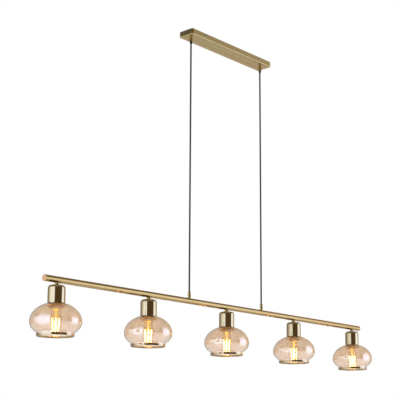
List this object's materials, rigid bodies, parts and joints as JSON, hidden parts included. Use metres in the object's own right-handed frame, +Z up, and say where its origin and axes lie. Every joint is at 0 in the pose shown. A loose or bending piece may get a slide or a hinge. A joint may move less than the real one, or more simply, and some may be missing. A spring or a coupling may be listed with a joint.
{
  "type": "pendant light",
  "caption": "Bar pendant light: a long ceiling canopy and cables carry a straight brass bar with cups, amber glass shades, rim rings and screw-in bulbs.",
  "frame": {"origin": "on the ceiling, midway between the bracket's fixing slots", "axes": "+Z up into the ceiling, X along the bar, with the first light at -X, -Y towards the side with the front notches"},
  "size_m": [1.5412, 0.1412, 1.0234],
  "materials": {
    "canopy_brass": "brushed and lacquered, antique brass colour",
    "zinc_steel": "zinc plated",
    "white_plastic": "moulded polyamide",
    "plain_brass": "plain turned and pressed brass",
    "turned_brass": "turned, antique brass colour",
    "dark_steel": "blackened",
    "black_plastic": "moulded",
    "black_cable": "extruded sheath",
    "bar_brass": "polished and lacquered, antique brass colour",
    "end_cap_brass": "turned and polished",
    "wire_insulation": "extruded",
    "cup_brass": "spun, polished and lacquered",
    "holder_plastic": "moulded heat-proof plastic",
    "ring_brass": "pressed and polished",
    "amber_glass": "blown, tinted all through",
    "rim_brass": "polished",
    "bulb_glass": "thin clear glass",
    "bulb_cap_brass": "rolled thread",
    "lit_filament": "lit light rods on a glass stem"
  },
  "bodies": {
    "ceiling_set": {"ceiling_canopy": "canopy_brass", "mounting_bracket": "zinc_steel", "bracket_screws": "zinc_steel", "terminal_block": "white_plastic", "terminal_screws": "plain_brass", "canopy_glands": "turned_brass", "gland_nuts": "plain_brass", "gland_set_screws": "dark_steel", "cable_bushes": "black_plastic", "inner_cable_tails": "black_cable"},
    "cable_pair": {"suspension_cable_left": "black_cable", "suspension_cable_right": "black_cable"},
    "light_bar": {"bar_tube": "bar_brass", "bar_end_cap_left": "end_cap_brass", "bar_end_cap_right": "end_cap_brass", "bar_cable_grips": "turned_brass", "grip_set_screws": "dark_steel", "bar_wiring": "wire_insulation", "light_stems": "turned_brass", "socket_contacts": "plain_brass", "cup_1": "cup_brass", "cup_2": "cup_brass", "cup_3": "cup_brass", "cup_4": "cup_brass", "cup_5": "cup_brass", "lampholder_1": "holder_plastic", "lampholder_2": "holder_plastic", "lampholder_3": "holder_plastic", "lampholder_4": "holder_plastic", "lampholder_5": "holder_plastic", "shade_ring_1": "ring_brass", "shade_ring_2": "ring_brass", "shade_ring_3": "ring_brass", "shade_ring_4": "ring_brass", "shade_ring_5": "ring_brass", "glass_shade_1": "amber_glass", "glass_shade_2": "amber_glass", "glass_shade_3": "amber_glass", "glass_shade_4": "amber_glass", "glass_shade_5": "amber_glass", "rim_ring_1": "rim_brass", "rim_ring_2": "rim_brass", "rim_ring_3": "rim_brass", "rim_ring_4": "rim_brass", "rim_ring_5": "rim_brass"},
    "bulb_1": {"bulb_glass_1": "bulb_glass", "bulb_cap_1": "bulb_cap_brass", "bulb_filament_1": "lit_filament"},
    "bulb_2": {"bulb_glass_2": "bulb_glass", "bulb_cap_2": "bulb_cap_brass", "bulb_filament_2": "lit_filament"},
    "bulb_3": {"bulb_glass_3": "bulb_glass", "bulb_cap_3": "bulb_cap_brass", "bulb_filament_3": "lit_filament"},
    "bulb_4": {"bulb_glass_4": "bulb_glass", "bulb_cap_4": "bulb_cap_brass", "bulb_filament_4": "lit_filament"},
    "bulb_5": {"bulb_glass_5": "bulb_glass", "bulb_cap_5": "bulb_cap_brass", "bulb_filament_5": "lit_filament"}
  },
  "joints": [
    {"name": "pendant_swing", "type": "hinge", "parent": "ceiling_set", "child": "cable_pair", "pos_m": [0, 0, -0.038], "axis": [1, 0, 0], "range_deg": [-15, 15]},
    {"name": "height_adjust", "type": "slide", "parent": "cable_pair", "child": "light_bar", "axis": [0, 0, 1], "range_m": [0, 0.5], "deforming": ["suspension_cable_left", "suspension_cable_right"]},
    {"name": "bulb_1_out", "type": "slide", "parent": "light_bar", "child": "bulb_1", "axis": [0, 0, -1], "range_m": [0, 0.03]},
    {"name": "bulb_2_out", "type": "slide", "parent": "light_bar", "child": "bulb_2", "axis": [0, 0, -1], "range_m": [0, 0.03]},
    {"name": "bulb_3_out", "type": "slide", "parent": "light_bar", "child": "bulb_3", "axis": [0, 0, -1], "range_m": [0, 0.03]},
    {"name": "bulb_4_out", "type": "slide", "parent": "light_bar", "child": "bulb_4", "axis": [0, 0, -1], "range_m": [0, 0.03]},
    {"name": "bulb_5_out", "type": "slide", "parent": "light_bar", "child": "bulb_5", "axis": [0, 0, -1], "range_m": [0, 0.03]}
  ]
}
